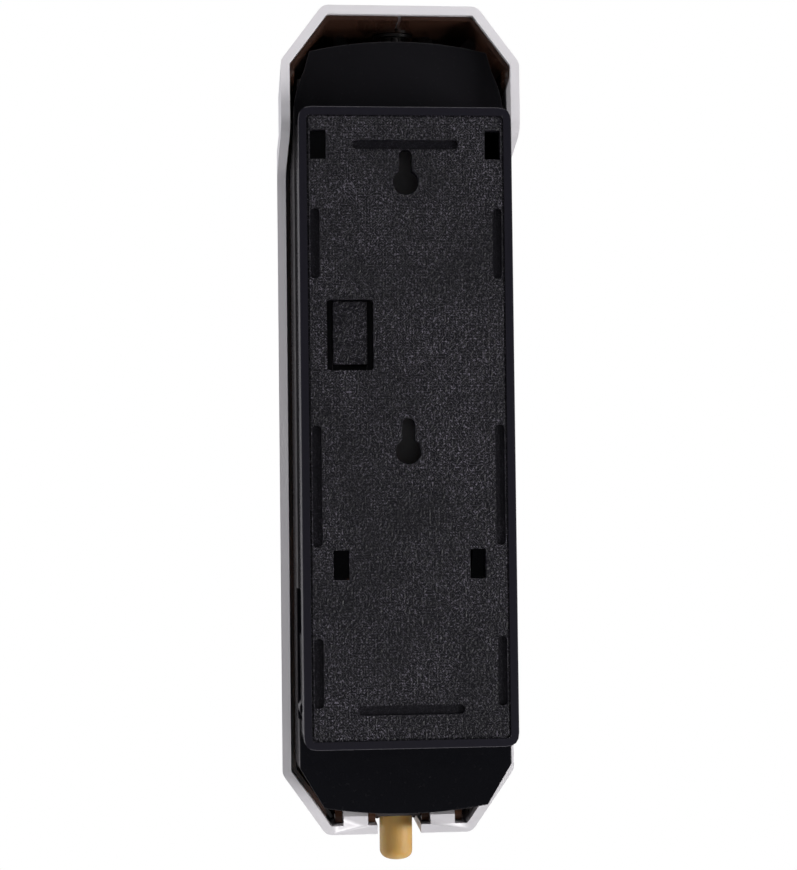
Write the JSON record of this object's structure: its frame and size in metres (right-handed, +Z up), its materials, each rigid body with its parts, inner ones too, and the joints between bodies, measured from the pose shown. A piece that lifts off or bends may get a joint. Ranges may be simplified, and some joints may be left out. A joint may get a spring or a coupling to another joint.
{
  "type": "soap dispenser",
  "caption": "Slim wall-hung manual soap dispenser with a plate, chassis, tank, tube pump, swing-open cover and press button.",
  "frame": {"origin": "on the wall, midway between the two screw seats of the wall plate", "axes": "+Z up; +Y from the dispenser into the wall, so the front faces -Y; +X completes the right-handed frame"},
  "size_m": [0.0726, 0.074, 0.2633],
  "materials": {
    "grained_black": "fine pebble grain",
    "gloss_black": "polished",
    "white_abs": "semi-gloss moulded",
    "tea_brown": "polished, tinted and see-through",
    "smoked_clear": "cloudy, see-through",
    "latex": "soft, slightly see-through amber",
    "black_rubber": "matte",
    "steel": "plated",
    "zinc": "die-cast, blackened",
    "natural_nylon": "satin moulded"
  },
  "bodies": {
    "plate": {"wall_plate": "grained_black"},
    "tongue": {"detent_tongue": "grained_black"},
    "unit": {"chassis": "gloss_black", "hinge_pin_left": "steel", "hinge_pin_right": "steel", "soap_tank": "smoked_clear", "tank_lid": "smoked_clear", "lid_gasket": "black_rubber", "valve_seat": "natural_nylon", "valve_cage": "natural_nylon", "outlet_gasket": "black_rubber", "pump_tube": "latex", "tube_clamp": "steel", "pump_bracket": "gloss_black", "anvil_pad": "black_rubber", "nozzle_block": "grained_black", "nozzle_screw_1": "steel", "nozzle_screw_2": "steel", "lock_striker": "zinc", "striker_screw_1": "steel", "striker_screw_2": "steel"},
    "ball": {"valve_ball": "steel"},
    "snap_left": {"side_snap_left": "gloss_black"},
    "snap_right": {"side_snap_right": "gloss_black"},
    "cover": {"cover_frame": "white_abs", "cover_panel": "tea_brown", "panel_screw_1": "steel", "panel_screw_2": "steel", "panel_screw_3": "steel", "panel_screw_4": "steel", "button_carrier": "grained_black", "carrier_screw_1": "steel", "carrier_screw_2": "steel", "carrier_screw_3": "steel", "carrier_screw_4": "steel"},
    "button": {"press_button": "white_abs", "squeeze_bar": "grained_black", "return_spring_left": "steel", "return_spring_right": "steel"},
    "lock": {"lock_barrel": "zinc", "lock_clip": "zinc", "lock_cam": "zinc"}
  },
  "joints": [
    {"name": "unit_lift", "type": "slide", "parent": "plate", "child": "unit", "axis": [0, 0, 1], "range_m": [0, 0.009]},
    {"name": "tongue_flex", "type": "hinge", "parent": "plate", "child": "tongue", "pos_m": [0.017, -0.0021, -0.0012], "axis": [1, 0, 0], "range_deg": [0, 2.7]},
    {"name": "cover_swing", "type": "hinge", "parent": "unit", "child": "cover", "pos_m": [0, -0.0444, -0.1582], "axis": [1, 0, 0], "range_deg": [0, 95]},
    {"name": "button_press", "type": "slide", "parent": "cover", "child": "button", "axis": [0, 1, 0], "range_m": [0, 0.008], "stiffness_N_per_m": 900, "springref_m": -0.004, "deforming": ["return_spring_left", "return_spring_right", "pump_tube"]},
    {"name": "lock_turn", "type": "hinge", "parent": "cover", "child": "lock", "pos_m": [0, -0.034, 0.08], "axis": [0, 0, 1], "range_deg": [0, 90]},
    {"name": "valve_lift", "type": "slide", "parent": "unit", "child": "ball", "axis": [0, 0, 1], "range_m": [0, 0.0016]},
    {"name": "side_snap_flex_left", "type": "hinge", "parent": "unit", "child": "snap_left", "pos_m": [-0.03085, -0.019, -0.1015], "axis": [0, 1, 0], "range_deg": [0, 3], "stiffness_Nm_per_rad": 0.4},
    {"name": "side_snap_flex_right", "type": "hinge", "parent": "unit", "child": "snap_right", "pos_m": [0.03085, -0.019, -0.1015], "axis": [0, -1, 0], "range_deg": [0, 3], "stiffness_Nm_per_rad": 0.4}
  ],
  "couplings": [
    {"joint": "tongue_flex", "follows": "unit_lift", "rad_per_m": 5.0421}
  ]
}
